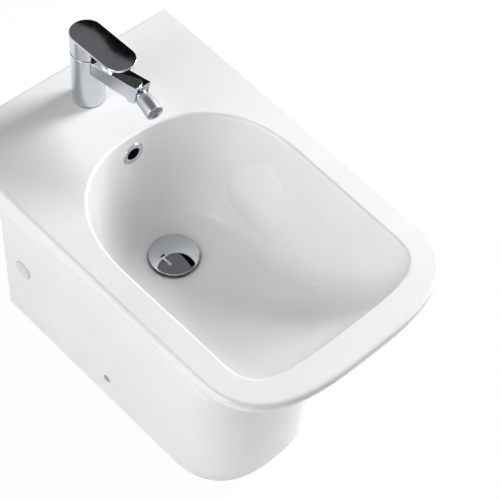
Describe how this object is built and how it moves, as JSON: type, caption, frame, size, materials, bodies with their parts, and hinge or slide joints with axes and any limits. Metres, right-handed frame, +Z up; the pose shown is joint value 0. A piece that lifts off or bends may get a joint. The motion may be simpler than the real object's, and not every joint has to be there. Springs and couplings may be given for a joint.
{
  "type": "floor mounted bidet",
  "caption": "Floor standing ceramic bidet with a pedestal back to the wall, a single lever tap with a swivel nozzle, a click waste, an overflow and a bottle trap.",
  "frame": {"origin": "on the floor, in the plane of the wall, on the centre line", "axes": "+Z up, +Y into the wall, +X to the right when facing the wall"},
  "size_m": [0.347, 0.542, 0.5144],
  "materials": {
    "glazed_ceramic": "white gloss glaze",
    "chrome": "polished",
    "cover_plastic": "pale grey moulded",
    "white_plastic": "white moulded",
    "dark_plastic": "black moulded",
    "acetal": "natural moulded",
    "alumina": "lapped",
    "brass": "turned",
    "steel": "plated",
    "rubber": "moulded"
  },
  "bodies": {
    "fixture": {"ceramic_body": "glazed_ceramic", "overflow_ring": "chrome", "access_cover_left": "cover_plastic", "access_cover_right": "cover_plastic", "tap_gasket": "rubber", "tap_body": "chrome", "cartridge_housing": "acetal", "fixed_disc": "alumina", "cartridge_nut": "brass", "slip_ring": "dark_plastic", "ball_retainer": "dark_plastic", "fixing_stud": "steel", "clamp_seal": "rubber", "clamp_plate": "steel", "stud_nut": "brass", "waste_body": "chrome", "flange_seal": "rubber", "under_seal": "rubber", "back_nut": "white_plastic", "plunger_guide": "acetal", "plunger_spring": "steel", "trap_inlet_pipe": "white_plastic", "trap_inlet_seal": "rubber", "trap_inlet_nut": "white_plastic", "trap_body": "white_plastic", "trap_top_seal": "rubber", "trap_top_nut": "white_plastic", "trap_cup": "white_plastic", "outlet_pipe": "white_plastic", "trap_outlet_seal": "rubber", "trap_outlet_nut": "white_plastic"},
    "turning_core": {"cartridge_core": "acetal", "moving_disc": "alumina", "stem_pivot_pin": "steel"},
    "lever": {"lever_stem": "brass", "lever_handle": "chrome", "handle_screw": "steel", "handle_plug": "dark_plastic"},
    "ball_seat": {"ball_cup": "acetal"},
    "nozzle": {"swivel_ball": "chrome", "nozzle_shell": "chrome", "aerator_insert": "dark_plastic", "aerator_screen": "steel"},
    "waste_cap_unit": {"waste_cap": "chrome", "cap_seal": "rubber", "cap_plunger": "acetal"}
  },
  "joints": [
    {"name": "lever_turn", "type": "hinge", "parent": "fixture", "child": "turning_core", "pos_m": [0, -0.058, 0.47], "axis": [0, 0, 1], "range_deg": [-45, 45]},
    {"name": "lever_lift", "type": "hinge", "parent": "turning_core", "child": "lever", "pos_m": [0, -0.058, 0.47], "axis": [-1, 0, 0], "range_deg": [0, 18]},
    {"name": "nozzle_swing", "type": "hinge", "parent": "fixture", "child": "ball_seat", "pos_m": [0, -0.1547, 0.4857], "axis": [0, 0, 1], "range_deg": [-7, 23]},
    {"name": "nozzle_tilt", "type": "hinge", "parent": "ball_seat", "child": "nozzle", "pos_m": [0, -0.1547, 0.4857], "axis": [0.99, -0.1409, 0], "range_deg": [-10, 20]},
    {"name": "waste_cap_slide", "type": "slide", "parent": "fixture", "child": "waste_cap_unit", "axis": [0, 0, 1], "range_m": [-0.0045, 0], "deforming": ["plunger_spring"]}
  ]
}
